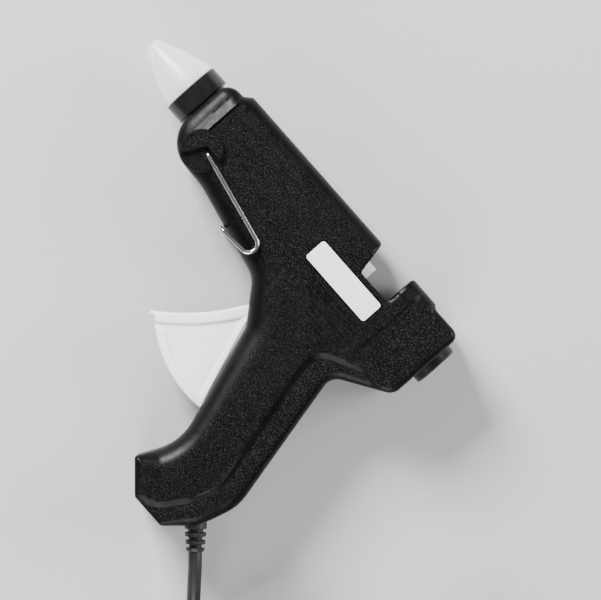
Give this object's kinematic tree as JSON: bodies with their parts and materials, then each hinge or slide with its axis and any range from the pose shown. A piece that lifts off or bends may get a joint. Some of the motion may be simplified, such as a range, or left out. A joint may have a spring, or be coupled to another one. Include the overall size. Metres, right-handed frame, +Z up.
{
  "type": "glue gun",
  "caption": "Hot-melt glue gun with a cone nozzle boot, fan-shaped trigger, top notch for the stick, folding wire stand and a coiled mains lead.",
  "frame": {"origin": "centre of the bounding box of the gun without its lead, on the surface that its right flank lies on", "axes": "+X from the nozzle to the stick inlet, +Y to the top of the barrel, +Z up out of the left flank"},
  "size_m": [0.2754, 0.1826, 0.0368],
  "materials": {
    "casing_black": "fine spark-textured moulded plastic, slight sheen",
    "ring_black": "smooth dark heat-resistant plastic",
    "boot_silicone": "translucent white silicone, satin",
    "aluminium_bare": "bare die-cast",
    "spring_steel": "bright drawn wire",
    "silicone_red": "matt moulded silicone",
    "ceramic": "fired ceramic plate with pressed terminals",
    "amber_film": "polyimide film",
    "carriage_white": "natural nylon",
    "trigger_white": "smooth white moulded plastic, satin gloss",
    "guide_black": "moulded plastic",
    "stand_steel": "plated spring-steel wire",
    "label_silver": "printed silver-white film, left blank",
    "screw_steel": "zinc-plated",
    "wire_red": "sleeved lead",
    "wire_blue": "sleeved lead",
    "crimp_tin": "tinned crimp",
    "relief_black": "moulded soft plastic",
    "cord_pvc": "smooth black sheath",
    "tie_black": "flat strap",
    "plug_black": "moulded-on plug",
    "pin_nickel": "nickel-plated brass"
  },
  "bodies": {
    "gun": {"casing_left": "casing_black", "casing_right": "casing_black", "front_ring": "ring_black", "nozzle_boot": "boot_silicone", "nozzle": "aluminium_bare", "check_ball": "spring_steel", "check_spring": "spring_steel", "melt_chamber": "aluminium_bare", "chamber_mount_front": "silicone_red", "chamber_mount_rear": "silicone_red", "ptc_heater": "ceramic", "heater_film": "amber_film", "heater_clip": "spring_steel", "inlet_sleeve": "silicone_red", "sleeve_clamp": "spring_steel", "trigger_pin": "spring_steel", "return_spring": "spring_steel", "rear_guide": "guide_black", "rating_label": "label_silver", "casing_screws": "screw_steel", "cord_clamp": "guide_black", "clamp_screws": "screw_steel", "lead_wire_live": "wire_red", "lead_wire_neutral": "wire_blue", "wire_crimps": "crimp_tin", "strain_relief": "relief_black", "power_cord": "cord_pvc", "cord_coil": "cord_pvc", "cord_tie": "tie_black", "plug_body": "plug_black", "plug_pins": "pin_nickel"},
    "feed": {"feed_carriage": "carriage_white", "stick_grip": "spring_steel", "link_pin": "spring_steel"},
    "trigger": {"trigger": "trigger_white"},
    "stand": {"stand_wire": "stand_steel"}
  },
  "joints": [
    {"name": "trigger_pull", "type": "hinge", "parent": "gun", "child": "trigger", "pos_m": [0.02615, 0.0196, 0.0184], "axis": [0, 0, 1], "range_deg": [0, 22], "stiffness_Nm_per_rad": 0.6, "springref_deg": -6.88, "deforming": ["return_spring"]},
    {"name": "feed_slide", "type": "slide", "parent": "gun", "child": "feed", "axis": [1, 0, 0], "range_m": [-0.0069, 0]},
    {"name": "stand_swing", "type": "hinge", "parent": "gun", "child": "stand", "pos_m": [-0.03575, 0.0391, 0.0184], "axis": [0, 0, -1], "range_deg": [0, 105]}
  ],
  "couplings": [
    {"joint": "feed_slide", "follows": "trigger_pull", "m_per_rad": -0.017718}
  ]
}
